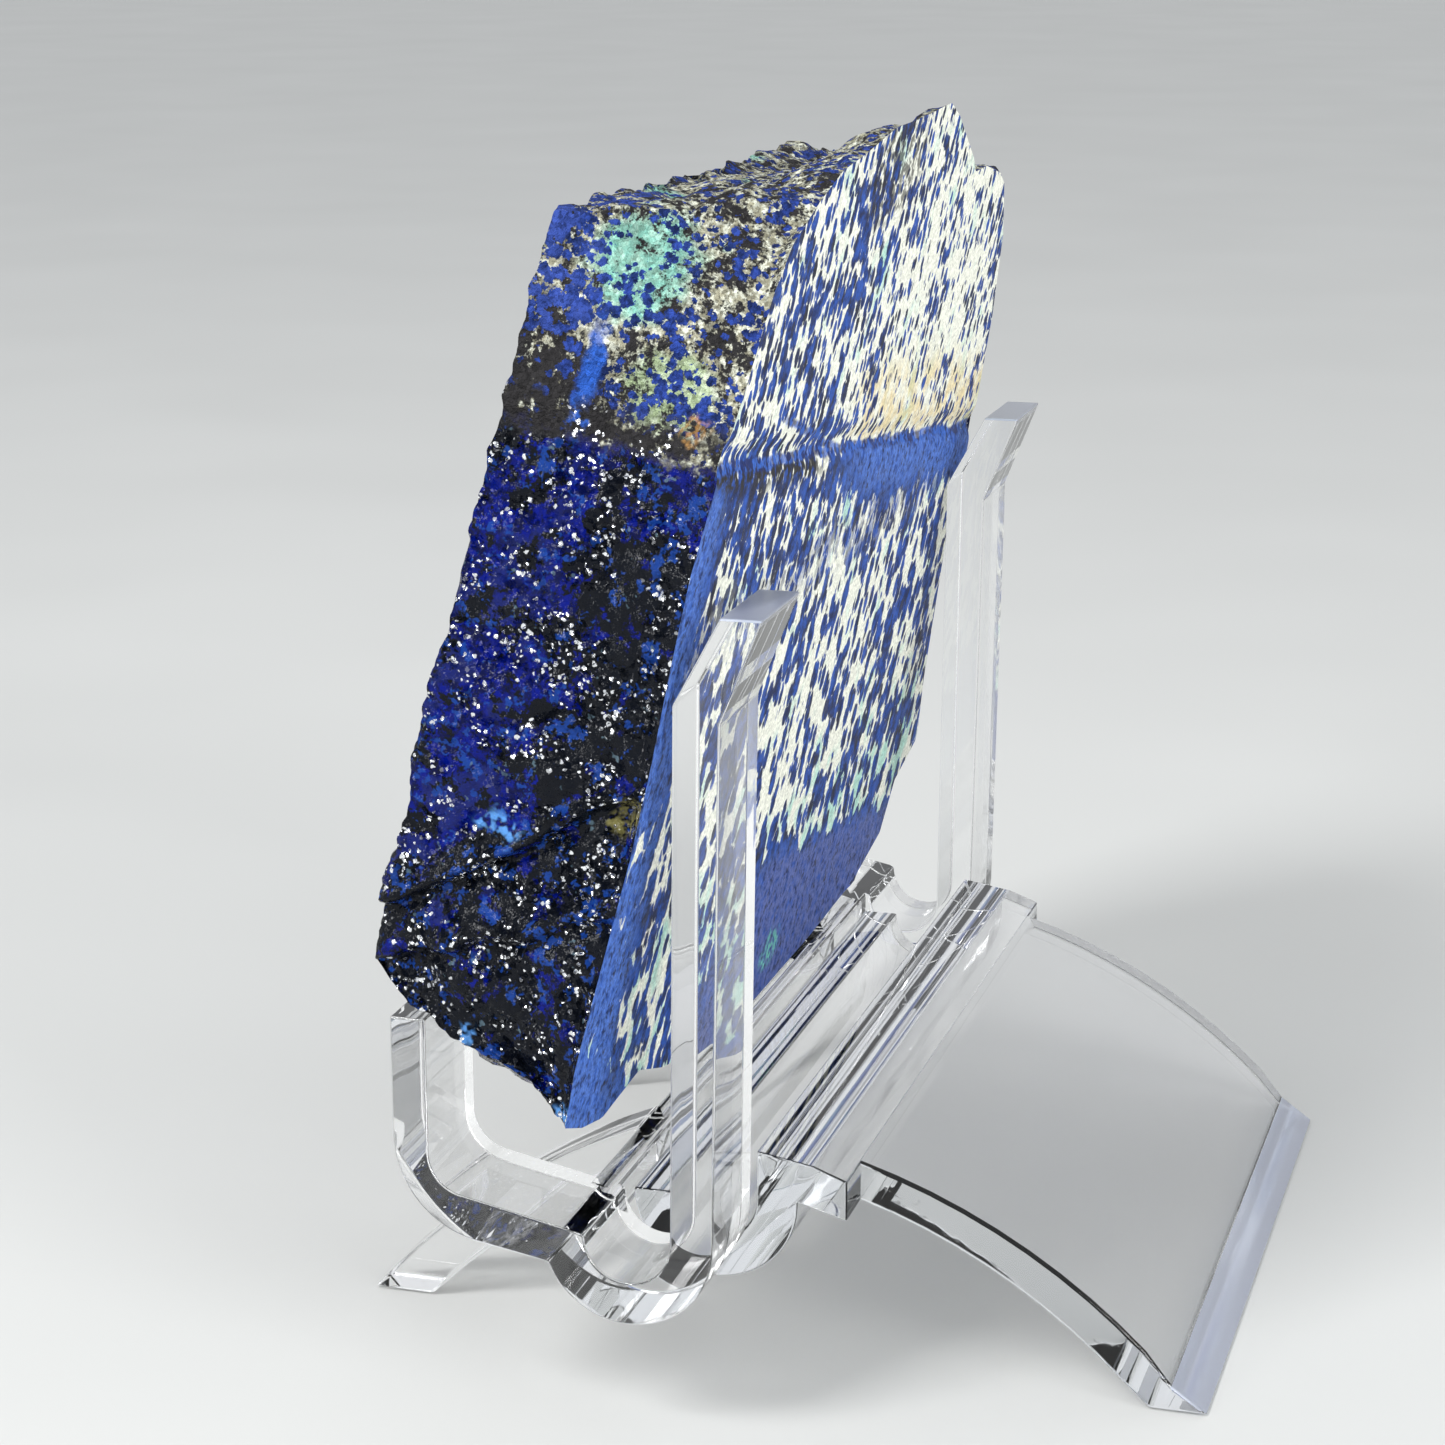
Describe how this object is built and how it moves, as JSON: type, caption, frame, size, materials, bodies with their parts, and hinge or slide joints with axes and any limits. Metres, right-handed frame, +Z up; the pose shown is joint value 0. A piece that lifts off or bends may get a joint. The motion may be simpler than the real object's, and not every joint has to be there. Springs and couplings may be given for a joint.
{
  "type": "azurite malachite slab on stand",
  "caption": "Sawn azurite malachite slab with rough broken edges, leaning on a clear easel stand.",
  "frame": {"origin": "on the table, under the middle of the object's bounding box", "axes": "+X along the slab's width, +Y from the hooks towards the sawn face and the back support, +Z up"},
  "size_m": [0.1007, 0.0652, 0.0888],
  "materials": {
    "stone": "rough broken faces, one sawn face",
    "clear_frame": "clear moulded plastic, polished",
    "clear_support": "clear moulded plastic, polished"
  },
  "bodies": {
    "root": {"azurite_slab": "stone", "front_frame": "clear_frame", "back_support": "clear_support"}
  },
  "joints": []
}
